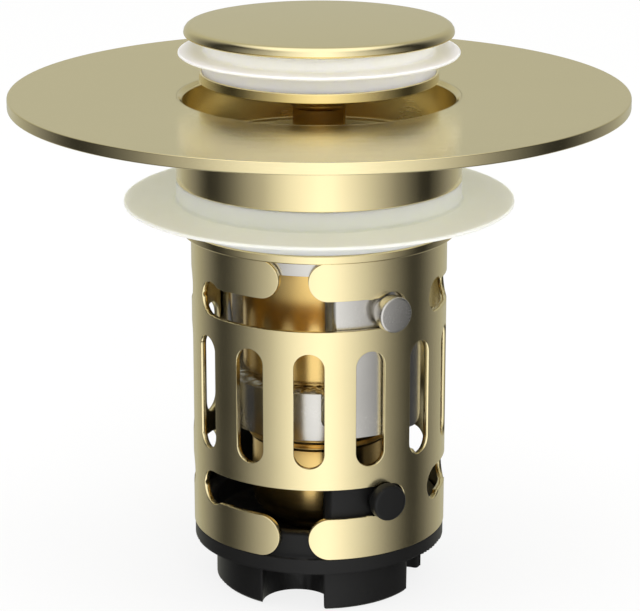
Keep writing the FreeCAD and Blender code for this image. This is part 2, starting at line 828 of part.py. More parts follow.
seat_bottom = screw_top
seat_top = seat_bottom + d.spring_seat_height
seat_radius = tail_bore - d.turning_gap
finished(turned_body("spring_seat_disc", [
    (ZERO, seat_bottom),
    (seat_radius, seat_bottom),
    (seat_radius, seat_bottom + d.spring_seat_height / 2),
    (coil_radius - d.wire_radius * 2, seat_bottom + d.spring_seat_height / 2),
    (coil_radius - d.wire_radius * 2, seat_top),
    (ZERO, seat_top),
]), "spring_seat")

# Press spring, from its seat up to the rotor

spring_bottom = seat_bottom + d.spring_seat_height / 2
spring_top = rotor_level - d.turning_gap
coil_level = spring_bottom + d.wire_radius + d.running_gap
coil_rise = (spring_top - d.wire_radius - coil_level).number
coil_path = Part.makeHelix(coil_rise / d.coil_count.number, coil_rise, coil_radius.number)
coil_section = Part.Wire(Part.makeCircle(d.wire_radius.number, Vector(coil_radius.number, 0, 0),
                                         Vector(0, 1, 0)))
spring = doc.addObject("Part::Feature", "spring_coil")
spring.Shape = Part.Wire(coil_path).makePipeShell([coil_section], True, True)
spring.Placement = Placement(Vector(0, 0, coil_level.number), Rotation())
finished(spring, "core_spring")

# Guide bush in the housing's top, with an O-ring round the plunger

bush_bore = d.plunger_radius + d.running_gap
groove_radius = bush_bore + d.ring_wire * 2 + d.slip_gap
groove_level = housing_top - d.bush_length / 2
groove_height = d.ring_wire * 2 + d.running_gap
finished(turned_body("guide_bush_ring", [
    (bush_bore, housing_top - d.bush_length),
    (d.bush_radius, housing_top - d.bush_length),
    (d.bush_radius, housing_top),
    (d.bush_flange_radius, housing_top),
    (d.bush_flange_radius, housing_top + d.bush_flange_height),
    (bush_bore, housing_top + d.bush_flange_height),
    (bush_bore, groove_level + groove_height),
    (groove_radius, groove_level + groove_height),
    (groove_radius, groove_level),
    (bush_bore, groove_level),
]), "guide_bush")
bush_ring = doc.addObject("Part::Torus", "bush_ring")
bind(bush_ring, Radius1=bush_bore + d.ring_wire, Radius2=d.ring_wire)
bush_ring.setExpression("Placement.Base.z", (groove_level + groove_height / 2).text)
doc.recompute()
finished(bush_ring, "bush_o_ring")

# Cam sleeve: the fixed guide of the press mechanism, slotted inside

sleeve_radius = housing_bore - d.slip_gap
sleeve_bore = sleeve_radius - d.cam_sleeve_wall
ratchet_radius = sleeve_bore - d.ratchet_gap
rotor_radius = sleeve_bore - d.rotor_gap
sleeve_top = housing_top - d.housing_top
sleeve_level = sleeve_top - d.cam_sleeve_height
cam_sleeve = turned_body("cam_sleeve_tube", [
    (sleeve_bore, sleeve_level),
    (sleeve_radius, sleeve_level),
    (sleeve_radius, sleeve_top),
    (sleeve_bore, sleeve_top),
])
cam_sketch = outline(new_sketch(cam_sleeve, "cam_slot_outline", "XY_Plane", sleeve_level), [
    (ZERO, -d.cam_slot_width / 2),
    (sleeve_bore + d.cam_slot_depth, -d.cam_slot_width / 2),
    (sleeve_bore + d.cam_slot_depth, d.cam_slot_width / 2),
    (ZERO, d.cam_slot_width / 2),
])
cam_slot = cut_through(cam_sleeve, cam_sketch, "cam_slot", d.cam_slot_length, True)
patterned(cam_sleeve, cam_slot, "cam_slots", d.cam_slot_count)
finished(cam_sleeve, "cam_sleeve")


# Plunger and rotor, whose ramped teeth face each other across a small gap


def toothed(body, name, level, inner, outer, up):
    """Cuts the notches between ratchet teeth into a body's flat ring face."""
    width = (inner + outer) * math.pi / d.ratchet_teeth / 2
    top = level + d.tooth_height * up
    sketch = new_sketch(body, name + "_outline", "XZ_Plane")
    low, high = (level, top) if up > 0 else (top, level)
    corners = [(-width / 2, low), (width / 2, low), (width / 2, high), (-width / 2, high)]
    corners.pop(1 if up < 0 else 2)
    outline(sketch, corners)
    notch = cut_through(body, sketch, name, outer + d.overshoot, True)
    return patterned(body, notch, name + "_teeth", d.ratchet_teeth)


ratchet_top = ratchet_level + d.ratchet_height
spigot_end = rotor_level - d.clip_thickness - d.running_gap - d.clip_bite
stud_bottom = stem_nut_level - d.stud_engagement
plunger = turned_body("plunger_rod", [
    (ZERO, ratchet_level),
    (ratchet_radius, ratchet_level),
    (ratchet_radius, ratchet_top),
    (d.plunger_radius, ratchet_top),
    (d.plunger_radius, stem_nut_level),
    (d.stud_radius + d.slip_gap, stem_nut_level),
    (d.stud_radius + d.slip_gap, stud_bottom),
    (ZERO, stud_bottom),
])
toothed(plunger, "plunger_notch", ratchet_level, d.spigot_radius, ratchet_radius, 1)
spigot_outline = outline(new_sketch(plunger, "spigot_outline"), [
    (ZERO, spigot_end),
    (d.spigot_radius, spigot_end),
    (d.spigot_radius, rotor_level - d.clip_thickness - d.running_gap),
    (d.spigot_radius - d.clip_bite, rotor_level - d.clip_thickness - d.running_gap),
    (d.spigot_radius - d.clip_bite, rotor_level - d.running_gap),
    (d.spigot_radius, rotor_level - d.running_gap),
    (d.spigot_radius, ratchet_level + d.tooth_height + d.running_gap),
    (ZERO, ratchet_level + d.tooth_height + d.running_gap),
])
spigot_turn = plunger.newObject("PartDesign::Revolution", "spigot_turn")
spigot_turn.Profile = spigot_outline
spigot_turn.ReferenceAxis = (spigot_outline, ["V_Axis"])
spigot_turn.Angle = 360.0
doc.recompute()
finished(plunger, "plunger")

rotor_top = rotor_level + d.rotor_height
rotor = turned_body("rotor_ring", [
    (d.spigot_radius + d.running_gap, rotor_level),
    (rotor_radius, rotor_level),
    (rotor_radius, rotor_top),
    (d.spigot_radius + d.running_gap, rotor_top),
])
toothed(rotor, "rotor_notch", rotor_top, d.spigot_radius, rotor_radius, -1)
finished(rotor, "latch_rotor")

finished(turned_body("rotor_clip_ring", [
    (d.spigot_radius - d.clip_bite + d.slip_gap, rotor_level - d.clip_thickness),
    (d.clip_radius, rotor_level - d.clip_thickness),
    (d.clip_radius, rotor_level - d.running_gap),
    (d.spigot_radius - d.clip_bite + d.slip_gap, rotor_level - d.running_gap),
]), "rotor_clip")

# Stem nut, which clamps the retainer, and the stud through it

finished(rounded(turned_body("stem_nut_ring", [
    (d.stud_radius + d.slip_gap, stem_nut_level),
    (d.stem_nut_radius, stem_nut_level),
    (d.stem_nut_radius, retainer_level),
    (d.stud_radius + d.slip_gap, retainer_level),
]), d.stem_nut_round, (d.stem_nut_radius, stem_nut_level)), "stem_nut")
stud_top = retainer_top + d.cap_boss_bore_depth - d.running_gap
finished(turned_body("stud_rod", [
    (ZERO, stud_bottom + d.running_gap),
    (d.stud_radius, stud_bottom + d.running_gap),
    (d.stud_radius, stud_top),
    (ZERO, stud_top),
]), "plug_stud")

# Seal retainer: a shallow cup under the plug seal

retainer_rim_top = retainer_level + d.retainer_height
finished(turned_body("retainer_cup", [
    (d.stud_radius + d.slip_gap, retainer_level),
    (d.retainer_radius, retainer_level),
    (d.retainer_radius, retainer_rim_top),
    (d.retainer_radius - d.retainer_rim, retainer_rim_top),
    (d.retainer_radius - d.retainer_rim, retainer_top),
    (d.stud_radius + d.slip_gap, retainer_top),
]), "seal_retainer")

# Plug seal: a thick soft washer with a thin flange, between the retainer and the cap

seal_collar_radius = d.retainer_radius - d.retainer_rim - d.slip_gap
seal_inside = d.cap_boss_radius + d.slip_gap
plug_seal = turned_body("plug_seal_ring", [
    (seal_inside, retainer_top),
    (seal_collar_radius, retainer_top),
    (seal_collar_radius, flange_level),
    (d.plug_flange_radius, flange_level),
    (d.plug_flange_radius, flange_top),
    (d.plug_neck_radius, flange_top),
    (d.plug_neck_radius, cap_level),
    (seal_inside, cap_level),
])
rounded(plug_seal, d.plug_flange_thickness * d.soft_edge,
        (d.plug_flange_radius, flange_level), (d.plug_flange_radius, flange_top))
finished(rounded(plug_seal, d.plug_flange_thickness / 2, (d.plug_neck_radius, flange_top)),
         "plug_seal")

# Plug cap: a thin domed disc with a threaded boss below

dome_radius = (d.cap_radius * d.cap_radius + d.cap_dome * d.cap_dome) / (d.cap_dome * 2)
plug_cap = turned_body("cap_disc", [
    (d.stud_radius + d.slip_gap, retainer_top),
    (d.cap_boss_radius, retainer_top),
    (d.cap_boss_radius, cap_level),
    (d.cap_radius, cap_level),
    (d.cap_radius, cap_edge_top, dome_radius),
    (ZERO, cap_edge_top + d.cap_dome),
    (ZERO, retainer_top + d.cap_boss_bore_depth),
    (d.stud_radius + d.slip_gap, retainer_top + d.cap_boss_bore_depth),
])
rounded(plug_cap, d.cap_bottom_round, (d.cap_radius, cap_level))
finished(rounded(plug_cap, d.cap_top_round, (d.cap_radius, cap_edge_top)), "plug_cap")

# Checks on every object, then one file for each sub-part

doc.recompute()
for obj in doc.Objects:
    if "Invalid" in obj.State or "Error" in obj.State:
        raise RuntimeError(f"{obj.Name} failed: {obj.State}")
for obj in sub_parts:
    if obj.Shape.isNull() or not obj.Shape.isValid() or not obj.Shape.Solids:
        raise RuntimeError(f"{obj.Label} has no valid solid")
for obj in sub_parts:
    obj.Shape.exportStep(f"parts/{obj.Label}.step")
    box = obj.Shape.BoundBox
    print(f"{obj.Label}: {len(obj.Shape.Solids)} solid, {obj.Shape.Volume:.1f} mm3, "
          f"z {box.ZMin:.2f} to {box.ZMax:.2f}, width {box.XLength:.2f}")
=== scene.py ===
# %% [markdown]
# # A pop-up basin waste
#
# This part drops into the outlet of a wash basin. From the top it has a press-to-open plug on soft
# silicone, a wide brushed cover plate, a polished neck with a soft flange, and a slotted strainer
# basket that is closed by a black plastic end cap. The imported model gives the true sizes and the
# places of all its pieces. This lesson gives each piece its rounded edges and its finish, and puts
# the whole into a small photo studio.

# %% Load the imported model
import json
import math

import bmesh
import bpy
from mathutils import Matrix, Vector

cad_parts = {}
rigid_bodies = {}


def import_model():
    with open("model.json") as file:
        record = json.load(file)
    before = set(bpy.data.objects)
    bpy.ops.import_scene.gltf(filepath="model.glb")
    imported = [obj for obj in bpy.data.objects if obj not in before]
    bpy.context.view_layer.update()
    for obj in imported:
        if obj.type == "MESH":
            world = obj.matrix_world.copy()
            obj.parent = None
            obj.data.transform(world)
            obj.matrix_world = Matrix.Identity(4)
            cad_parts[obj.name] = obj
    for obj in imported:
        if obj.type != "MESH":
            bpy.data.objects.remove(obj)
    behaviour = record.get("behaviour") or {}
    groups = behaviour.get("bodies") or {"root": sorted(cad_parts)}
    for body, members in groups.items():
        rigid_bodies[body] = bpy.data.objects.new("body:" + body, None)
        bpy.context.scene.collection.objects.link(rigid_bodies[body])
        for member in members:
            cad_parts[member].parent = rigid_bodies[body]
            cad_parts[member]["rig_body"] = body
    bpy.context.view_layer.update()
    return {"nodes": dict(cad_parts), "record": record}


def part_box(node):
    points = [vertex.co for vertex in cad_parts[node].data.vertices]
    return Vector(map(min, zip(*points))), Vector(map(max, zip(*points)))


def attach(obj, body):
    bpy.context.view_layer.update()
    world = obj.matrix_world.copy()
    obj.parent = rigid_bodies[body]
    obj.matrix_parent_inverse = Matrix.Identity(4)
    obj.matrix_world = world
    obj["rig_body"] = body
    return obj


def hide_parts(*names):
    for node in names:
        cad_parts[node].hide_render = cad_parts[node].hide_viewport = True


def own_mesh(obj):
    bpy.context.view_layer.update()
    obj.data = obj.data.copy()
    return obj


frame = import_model()
nodes = frame["nodes"]
slot_of = {part["node"]: part["material_slot"] for part in frame["record"]["subparts"]}
MM = 0.001

# %% [markdown]
# ## Camera
#
# The picture was taken with a long lens from a little above the plate. A long lens keeps the plate's
# ellipse flat and its two ends alike. The camera is placed by its height angle and its distance from
# a point on the waste's axis, which is easier to check than three loose coordinates.

# %% Camera
CAMERA_RISE = 16.609
CAMERA_DISTANCE = 348.69 * MM
CAMERA_AIM = Vector((0, 0, 37.48 * MM))
LENS = 148.79
FRAME_SHIFT = 0.0014
NEAREST = 0.01

camera = bpy.data.objects.new("camera", bpy.data.cameras.new("camera"))
bpy.context.scene.collection.objects.link(camera)
bpy.context.scene.camera = camera
rise = math.radians(CAMERA_RISE)
to_camera = Vector((0, -math.cos(rise), math.sin(rise)))
camera.location = CAMERA_AIM + to_camera * CAMERA_DISTANCE
camera.rotation_euler = to_camera.to_track_quat("Z", "Y").to_euler()
camera.data.lens = LENS
camera.data.shift_x = FRAME_SHIFT
camera.data.shift_y = FRAME_SHIFT
camera.data.clip_start = NEAREST
print("camera stands at, mm:", [round(v / MM, 1) for v in camera.location])

# %% [markdown]
# ## Writing shader maths as plain sums
#
# A finish is a small net of nodes. Wiring each one by hand hides what the net works out, so one
# class wraps a socket and turns +, - and * into Math nodes. A second class holds a material and adds
# any other node with one call: its settings first, then the values or wires of its sockets.


# %% A wire that can be used in sums
class Wire:
    def __init__(self, finish, socket):
        self.finish = finish
        self.socket = socket

    def joined(self, operation, first, second):
        return self.finish.node("Math", {"operation": operation}, {0: first, 1: second})

    def __add__(self, other):
        return self.joined("ADD", self, other)

    def __sub__(self, other):
        return self.joined("SUBTRACT", self, other)

    def __rsub__(self, other):
        return self.joined("SUBTRACT", other, self)

    def __mul__(self, other):
        return self.joined("MULTIPLY", self, other)

    __radd__ = __add__
    __rmul__ = __mul__


class Finish:
    """A material, its main shader and the nodes that feed it."""

    def __init__(self, name, constants):
        self.material = bpy.data.materials.new(name)
        self.material.use_nodes = True
        self.tree = self.material.node_tree
        self.shader = self.tree.nodes["Principled BSDF"]
        for socket, value in constants.items():
            self.shader.inputs[socket].default_value = value

    def node(self, kind, settings, sockets, output=0):
        made = self.tree.nodes.new("ShaderNode" + kind)
        for setting, value in settings.items():
            if setting == "stops":
                stops = made.color_ramp.elements
                while len(stops) < len(value):
                    stops.new(1.0)
                for stop, (place, colour) in zip(stops, value):
                    stop.position, stop.color = place, colour
            else:
                setattr(made, setting, value)
        for socket, value in sockets.items():
            self.feed(made.inputs[socket], value)
        return Wire(self, made.outputs[output])

    def feed(self, socket, value):
        if isinstance(value, Wire):
            self.tree.links.new(value.socket, socket)
        else:
            socket.default_value = value

    def set(self, socket, value):
        self.feed(self.shader.inputs[socket], value)

    def noise(self, scale, stretch, detail):
        """Noise in the piece's own coordinates, about `scale` specks in a metre."""
        place = self.node("TexCoord", {}, {}, output=3)
        mapped = self.node("Mapping", {}, {"Vector": place, "Scale": stretch})
        return self.node("TexNoise", {}, {"Vector": mapped, "Scale": scale, "Detail": detail})

    def ring(self, radius, reach):
        """1 where a point lies within `reach` of a radius from the axis, and 0 elsewhere."""
        place = self.node("TexCoord", {}, {}, output=3)
        level = self.node("VectorMath", {"operation": "MULTIPLY"}, {0: place, 1: (1, 1, 0)})
        length = self.node("VectorMath", {"operation": "LENGTH"}, {0: level}, output=1)
        return self.node("Math", {"operation": "COMPARE"}, {0: length, 1: radius, 2: reach})

    def blend(self, factor, first, second):
        """A colour between two colours."""
        return self.node("Mix", {"data_type": "RGBA"}, {0: factor, 6: first, 7: second}, output=2)

    def bump(self, height, strength, depth, edge=0.0):
        """Grain on the surface, and an edge that shades as if it were rounded by so much."""
        sockets = {"Height": height, "Strength": strength, "Distance": depth}
        if edge:
            sockets["Normal"] = self.node("Bevel", {"samples": 6}, {"Radius": edge})
        return self.node("Bump", {}, sockets)


print("shader helpers ready")

# %% [markdown]
# ## The metals
#
# All the gold pieces are coated metal, but each is worked differently. The cover plate and the cap
# are brushed in straight lines along X, so their finest noise is ninety times closer across the
# lines than along them. Their rims are polished after the brushing, which a ring mask does here. The
# neck and the retainer are turned and polished, and another ring mask leaves the throat's wall
# duller. The basket is satin, and the press core is polished brass of a warmer tone. A metal's
# colour is in its reflections, and inside the throat light goes from wall to wall several times and
# gets deeper each time, so the base colours are as pale as real gold coats.

# %% Gold and steel
PLATE_GOLD = (0.82, 0.71, 0.40, 1)
BRIGHT_GOLD = (0.89, 0.78, 0.47, 1)
NECK_GOLD = (0.81, 0.69, 0.38, 1)
BASKET_GOLD = (0.85, 0.73, 0.415, 1)
PALE_GOLD = (0.90, 0.78, 0.46, 1)
WARM_GOLD = (0.87, 0.62, 0.245, 1)
DEEP_GOLD = (0.77, 0.52, 0.17, 1)
STEEL = (0.68, 0.66, 0.62, 1)
DARK_STEEL = (0.56, 0.545, 0.512, 1)
CAP_RIM, CAP_RIM_REACH = 17.36 * MM, 0.8 * MM
PLATE_RIM, PLATE_RIM_REACH = 40.0 * MM, 0.25 * MM
THROAT_WALL, THROAT_REACH = 16.7 * MM, 1.1 * MM


def brushed_metal(name, dark, light, roughness):
    finish = Finish(name, {"Metallic": 1.0})
    fine = finish.noise(60.0, (1, 90, 90), 3.0)
    broad = finish.noise(18.0, (1, 14, 14), 2.0)
    streaks = fine * 0.65 + broad * 0.35
    face = 1 - (finish.ring(CAP_RIM, CAP_RIM_REACH) + finish.ring(PLATE_RIM, PLATE_RIM_REACH))
    finish.set("Base Color", finish.blend(streaks, dark, light))
    finish.set("Roughness", streaks * 0.12 + face * (roughness - 0.14) + 0.08)
    finish.set("Normal", finish.bump(fine * face, 0.2, 0.00005))
    return finish.material


def turned_metal(name, dark, light, roughness, ring_depth, inside=0.0):
    """Fine rings left by the lathe, one above another, and a cloudy polish that is duller inside."""
    finish = Finish(name, {"Metallic": 1.0})
    rings = finish.noise(40.0, (0.05, 0.05, 60), 2.0)
    clouds = finish.noise(120.0, (1, 1, 1), 1.0)
    finish.set("Base Color", finish.blend(clouds, dark, light))
    throat = finish.ring(THROAT_WALL, THROAT_REACH) * inside
    finish.set("Roughness", clouds * 0.06 + rings * 0.04 + throat + (roughness - 0.05))
    if ring_depth:
        finish.set("Normal", finish.bump(rings, 0.1, ring_depth))
    return finish.material


def satin_metal(name, dark, light, roughness, edge):
    """A blasted and coated skin: a very fine grain all over."""
    finish = Finish(name, {"Metallic": 1.0})
    grain = finish.noise(9000.0, (1, 1, 1), 1.0)
    clouds = finish.noise(160.0, (1, 1, 1), 3.0)
    finish.set("Base Color", finish.blend(clouds, dark, light))
    finish.set("Roughness", grain * 0.05 + clouds * 0.05 + (roughness - 0.05))
    finish.set("Normal", finish.bump(grain, 0.12, 0.00002, edge))
    return finish.material


finishes = {
    "brushed_gold": brushed_metal("brushed_gold", PLATE_GOLD, BRIGHT_GOLD, 0.19),
    "polished_gold": turned_metal("polished_gold", NECK_GOLD, PALE_GOLD, 0.12, 0.00001, 0.14),
    "satin_gold": satin_metal("satin_gold", BASKET_GOLD, PALE_GOLD, 0.22, 0.0001),
    "core_gold": turned_metal("core_gold", DEEP_GOLD, WARM_GOLD, 0.26, 0.0),
    "satin_steel": satin_metal("satin_steel", DARK_STEEL, STEEL, 0.26, 0.0001),
    "spring_steel": turned_metal("spring_steel", DARK_STEEL, STEEL, 0.20, 0.00001),
}
print("metals:", ", ".join(finishes))

# %% [markdown]
# ## Silicone, rubber and plastic
#
# Both seals are milky silicone. Light goes in, scatters and comes out again a few millimetres on,
# so they glow at their thin edges. Subsurface scattering does this without real refraction. The
# moulded end cap is a black plastic with a fine eroded skin that breaks up its highlights.

# %% Soft and moulded finishes
def silicone(name, deep, pale, reach):
    finish = Finish(name, {
        "Subsurface Weight": 1.0, "Subsurface Radius": (1.0, 1.0, 0.8), "Subsurface Scale": reach,
        "Specular IOR Level": 0.4, "IOR": 1.42})
    clouds = finish.noise(140.0, (1, 1, 1), 2.0)
    skin = finish.noise(1500.0, (1, 1, 1), 2.0)
    finish.set("Base Color", finish.blend(clouds, deep, pale))
    finish.set("Roughness", skin * 0.12 + 0.28)
    finish.set("Normal", finish.bump(skin, 0.08, 0.00003))
    return finish.material


def moulded(name, dark, light, roughness, gloss, edge):
    finish = Finish(name, {"Specular IOR Level": gloss})
    skin = finish.noise(5000.0, (1, 1, 1), 2.0)
    clouds = finish.noise(120.0, (1, 1, 1), 2.0)
    finish.set("Base Color", finish.blend(clouds, dark, light))
    finish.set("Roughness", skin * 0.12 + (roughness - 0.06))
    finish.set("Normal", finish.bump(skin, 0.25, 0.00004, edge))
    return finish.material


finishes |= {
    "clear_silicone": silicone("clear_silicone", (0.955, 0.975, 0.86, 1), (0.975, 0.99, 0.89, 1), 0.005),
    "grey_silicone": silicone("grey_silicone", (0.69, 0.705, 0.63, 1), (0.735, 0.75, 0.68, 1), 0.003),
    "black_rubber": moulded(
        "black_rubber", (0.012, 0.012, 0.012, 1), (0.02, 0.02, 0.02, 1), 0.6, 0.3, 0.0),
    "black_plastic": moulded(
        "black_plastic", (0.005, 0.005, 0.005, 1), (0.009, 0.0088, 0.0085, 1), 0.40, 0.20, 0.0005),
    "white_plastic": moulded(
        "white_plastic", (0.76, 0.76, 0.73, 1), (0.82, 0.82, 0.80, 1), 0.4, 0.5, 0.0),
}
print("finishes:", len(finishes))

# %% [markdown]
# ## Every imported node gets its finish
#
# The record names a finish for each node. Putting it in the slot of the node's mesh is enough for
# the pieces inside the press core, which hardly show. Most of the others are replaced by finer
# pieces below.

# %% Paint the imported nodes
for name, node in nodes.items():
    node.data.materials.clear()
    node.data.materials.append(finishes[slot_of[name]])
print("painted nodes:", len(nodes))

# %% [markdown]
# ## Turned pieces
#
# Most pieces were made on a lathe, so they are spun from half of their section. The corners of the
# section are rounded first, while it is still a simple outline: a vertex bevel there costs a few
# points, where a bevel on the finished ring would cost hundreds of faces. A corner without a radius
# of its own gets a tiny one, because no real edge is perfectly sharp and a small round catches the
# light. A radius of 0 leaves a corner as it is, where it is hidden, meets another piece or is only a
# point of a dome.

# %% Spinning a section
TURN_STEPS = 144
ROUND_STEPS = 4
SMALL_ROUND = 0.08
SEAM_WELD = 1e-7
SHARP = math.radians(38)


def shown(name, bm, finish):
    """Makes an object of a finished bmesh, with smooth faces that stay flat where they are flat."""
    bmesh.ops.recalc_face_normals(bm, faces=bm.faces)
    mesh = bpy.data.meshes.new(name)
    bm.to_mesh(mesh)
    bm.free()
    piece = bpy.data.objects.new(name, mesh)
    bpy.context.scene.collection.objects.link(piece)
    mesh.shade_smooth()
    mesh.set_sharp_from_angle(angle=SHARP)
    mesh.materials.append(finish)
    weighted = piece.modifiers.new("flat faces", "WEIGHTED_NORMAL")
    weighted.keep_sharp = True
    return piece


def stand_in_for(piece, *names):
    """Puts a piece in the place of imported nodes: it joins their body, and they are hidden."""
    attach(piece, nodes[names[0]]["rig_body"])
    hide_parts(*names)
    return piece


def spun(name, section):
    """Spins a section of (radius, height, corner radius) in millimetres about the Z axis."""
    bm = bmesh.new()
    corners = []
    for radius, height, *rounding in section:
        corner = bm.verts.new((radius * MM, 0, height * MM))
        corners.append((corner, rounding[0] if rounding else SMALL_ROUND))
    verts = [corner for corner, _ in corners]
    closed = section[0][0] > 0 or section[-1][0] > 0
    for a, b in zip(verts, verts[1:] + (verts[:1] if closed else [])):
        bm.edges.new((a, b))
    for corner, size in corners:
        if size > 0 and len(corner.link_edges) == 2:
            bmesh.ops.bevel(bm, geom=[corner], offset=size * MM, offset_type="OFFSET",
                            segments=ROUND_STEPS, profile=0.5, affect="VERTICES", material=-1)
    bmesh.ops.spin(bm, geom=bm.verts[:] + bm.edges[:], cent=(0, 0, 0), axis=(0, 0, 1),
                   angle=2 * math.pi, steps=TURN_STEPS, use_merge=True)
    bmesh.ops.remove_doubles(bm, verts=bm.verts, dist=SEAM_WELD)
    loose = [e for e in bm.edges if not e.link_faces]
    bmesh.ops.delete(bm, geom=loose, context="EDGES")
    piece = shown(name, bm, finishes[slot_of[name]])
    piece.name = name + "_turned"
    print(piece.name, len(piece.data.polygons), "faces")
    return piece


def arc_of_heights(radius, edge_height, rise, steps):
    """Points of a shallow dome, from its rim to its middle."""
    sphere = (radius ** 2 + rise ** 2) / (2 * rise)
    points = []
    for step in range(1, steps + 1):
        r = radius * (1 - step / steps)
        points.append((r, edge_height + rise - sphere + math.sqrt(sphere ** 2 - r ** 2), 0))
    return points


# %% [markdown]
# ## Cover plate and neck
#
# The plate is a ring that is dished by half a millimetre towards its hole, with barely broken
# edges. The neck comes up through it, and its polished chamfer is the bright line round the hole.
# Inside, the throat steps in to hold the bracket, and outside, a groove and a lip hold the soft
# flange.

# %% Cover plate and neck
plate_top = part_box("cover_plate")[1].z / MM
plate_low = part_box("cover_plate")[0].z / MM
neck_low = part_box("neck_sleeve")[0].z / MM
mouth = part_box("neck_sleeve")[1].z / MM
stand_in_for(spun("cover_plate", [
    (18.39, plate_low + 0.3, 0), (18.61, plate_low + 0.3, 0), (18.61, plate_low, 0),
    (40.0, plate_low, 0.2), (40.0, plate_top, 0.2), (18.39, mouth, 0)]), "cover_plate")
stand_in_for(spun("neck_sleeve", [
    (15.83, neck_low, 0.1), (17.95, neck_low, 0.24), (17.95, neck_low + 1.15, 0.24),
    (17.0, neck_low + 1.15, 0), (17.0, neck_low + 6.9, 0), (18.58, neck_low + 6.9, 0.1),
    (18.58, plate_low + 0.3, 0), (18.36, plate_low + 0.3, 0), (18.36, mouth, 0.02),
    (18.2, mouth, 0.02), (17.65, mouth - 0.55, 0.05), (17.65, neck_low + 10.9, 0.3),
    (15.83, neck_low + 8.9, 0.3)]), "neck_sleeve")

# %% [markdown]
# ## Seals
#
# A moulded seal has no sharp edge anywhere. The thin flanges end in a full round, and where a
# flange leaves the thick collar there is a fillet, which spreads the stress when it bends.

# %% Seals
seal_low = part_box("body_seal")[0].z / MM
stand_in_for(spun("body_seal", [
    (17.03, seal_low, 0.1), (17.98, seal_low, 0.15), (19.08, seal_low + 2.67, 0.4),
    (25.4, seal_low + 2.67, 0.22), (25.4, seal_low + 3.17, 0.22), (18.58, seal_low + 3.17, 0.4),
    (18.58, seal_low + 5.69, 0.15), (17.03, seal_low + 5.69, 0.1)]), "body_seal")
collar_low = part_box("plug_seal")[0].z / MM
stand_in_for(spun("plug_seal", [
    (5.03, collar_low, 0.1), (15.02, collar_low, 0.1), (15.02, collar_low + 2.75, 0.35),
    (18.12, collar_low + 2.75, 0.18), (18.12, collar_low + 3.15, 0.18),
    (14.73, collar_low + 3.15, 0.35), (14.73, collar_low + 5.25, 0.1),
    (5.03, collar_low + 5.25, 0.1)]), "plug_seal")

# %% [markdown]
# ## The plug's metal pieces
#
# The cap is the part that a finger presses. Its top is a very shallow dome with a soft shoulder, so
# water runs off. The retainer below is a shallow cup that clamps the seal, on a small round nut.

# %% Cap, retainer and stem nut
cap_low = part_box("plug_cap")[0].z / MM
stand_in_for(spun("plug_cap", [
    (2.53, cap_low), (5.0, cap_low), (5.0, cap_low + 5.25, 0), (17.36, cap_low + 5.25, 0.3),
    (17.36, cap_low + 6.55, 0.95)] + arc_of_heights(17.36, cap_low + 6.55, 0.2, 8)
    + [(0, cap_low + 4.9, 0), (2.53, cap_low + 4.9, 0)]), "plug_cap")
cup_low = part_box("seal_retainer")[0].z / MM
stand_in_for(spun("seal_retainer", [
    (2.53, cup_low, 0), (15.45, cup_low, 0.25), (15.45, cup_low + 1.35, 0.12),
    (15.05, cup_low + 1.35, 0.1), (15.05, cup_low + 0.8, 0), (2.53, cup_low + 0.8, 0)]),
    "seal_retainer")
nut_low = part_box("stem_nut")[0].z / MM
stand_in_for(spun("stem_nut", [
    (2.53, nut_low), (3.9, nut_low, 0.9), (3.9, nut_low + 3.45, 0), (2.53, nut_low + 3.45, 0)]),
    "stem_nut")

# %% [markdown]
# ## The press core
#
# The core hangs in the bracket's hub: a bell above it, and below it a lock nut, a barrel with a
# round bottom and the slotted screw that sets the spring. Polished brass shows every change of
# radius, so these sections carry the true fillets. The screw stays as packed, because a spin can't
# show its slot.

# %% Press core
bell_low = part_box("core_housing")[0].z / MM
stand_in_for(spun("core_housing", [
    (6.0, bell_low), (7.0, bell_low), (7.0, bell_low + 12.25, 0), (10.07, bell_low + 12.25, 0.4),
    (10.07, bell_low + 39.75, 0.6), (6.03, bell_low + 39.75, 0), (6.03, bell_low + 37.25, 0),
    (8.87, bell_low + 37.25, 0), (8.87, bell_low + 14.65, 0), (7.67, bell_low + 13.45, 0),
    (6.0, bell_low + 13.45, 0)]), "core_housing")
bush_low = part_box("guide_bush")[0].z / MM
stand_in_for(spun("guide_bush", [
    (3.45, bush_low), (6.0, bush_low), (6.0, bush_low + 5.2, 0), (7.2, bush_low + 5.2, 0.15),
    (7.2, bush_low + 6.9, 0.3), (3.45, bush_low + 6.9, 0.15), (3.45, bush_low + 4.25, 0),
    (5.08, bush_low + 4.25, 0), (5.08, bush_low + 2.6, 0), (3.45, bush_low + 2.6, 0)]), "guide_bush")
washer_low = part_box("housing_washer")[0].z / MM
stand_in_for(spun("housing_washer", [
    (7.03, washer_low), (9.2, washer_low), (9.2, washer_low + 0.55), (7.03, washer_low + 0.55)]),
    "housing_washer")
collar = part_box("lock_nut")[0].z / MM
stand_in_for(spun("lock_nut", [
    (7.03, collar), (9.2, collar), (9.55, collar + 0.55), (9.2, collar + 0.825),
    (9.55, collar + 1.1), (9.9, collar + 1.65), (9.55, collar + 1.925), (9.9, collar + 2.2),
    (9.9, collar + 2.75), (7.03, collar + 2.75)]), "lock_nut")
barrel_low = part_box("lower_barrel")[0].z / MM
stand_in_for(spun("lower_barrel", [
    (4.03, barrel_low), (8.9, barrel_low, 2.6), (8.9, barrel_low + 10.75, 0.1),
    (7.03, barrel_low + 10.75), (7.03, barrel_low + 3.75), (5.73, barrel_low + 2.45),
    (4.03, barrel_low + 2.45)]), "lower_barrel")

